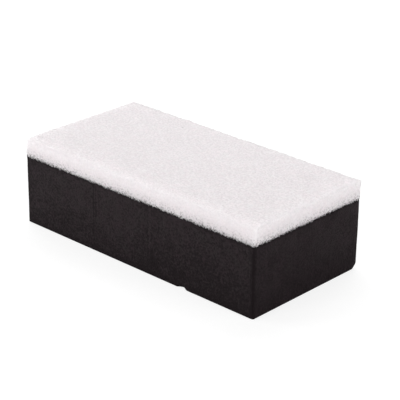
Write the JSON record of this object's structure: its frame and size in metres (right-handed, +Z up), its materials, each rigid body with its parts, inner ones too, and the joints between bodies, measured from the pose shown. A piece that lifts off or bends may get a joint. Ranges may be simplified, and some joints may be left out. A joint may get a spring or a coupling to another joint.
{
  "type": "coating applicator",
  "caption": "Rectangular hand-held foam block with a thin soft foam face bonded over its top, for wiping a liquid coating onto a surface.",
  "frame": {"origin": "middle of the backing block's bottom face, on the surface that the applicator stands on", "axes": "+X along the block, +Y across it, +Z up through the white foam face"},
  "size_m": [0.0804, 0.04, 0.024],
  "materials": {
    "black_foam": "matt cut face of firm closed-cell foam, with faint upright cutting marks",
    "white_foam": "matt open-cell foam with fine pores"
  },
  "bodies": {
    "root": {"backing_block": "black_foam", "coating_pad": "white_foam"}
  },
  "joints": []
}
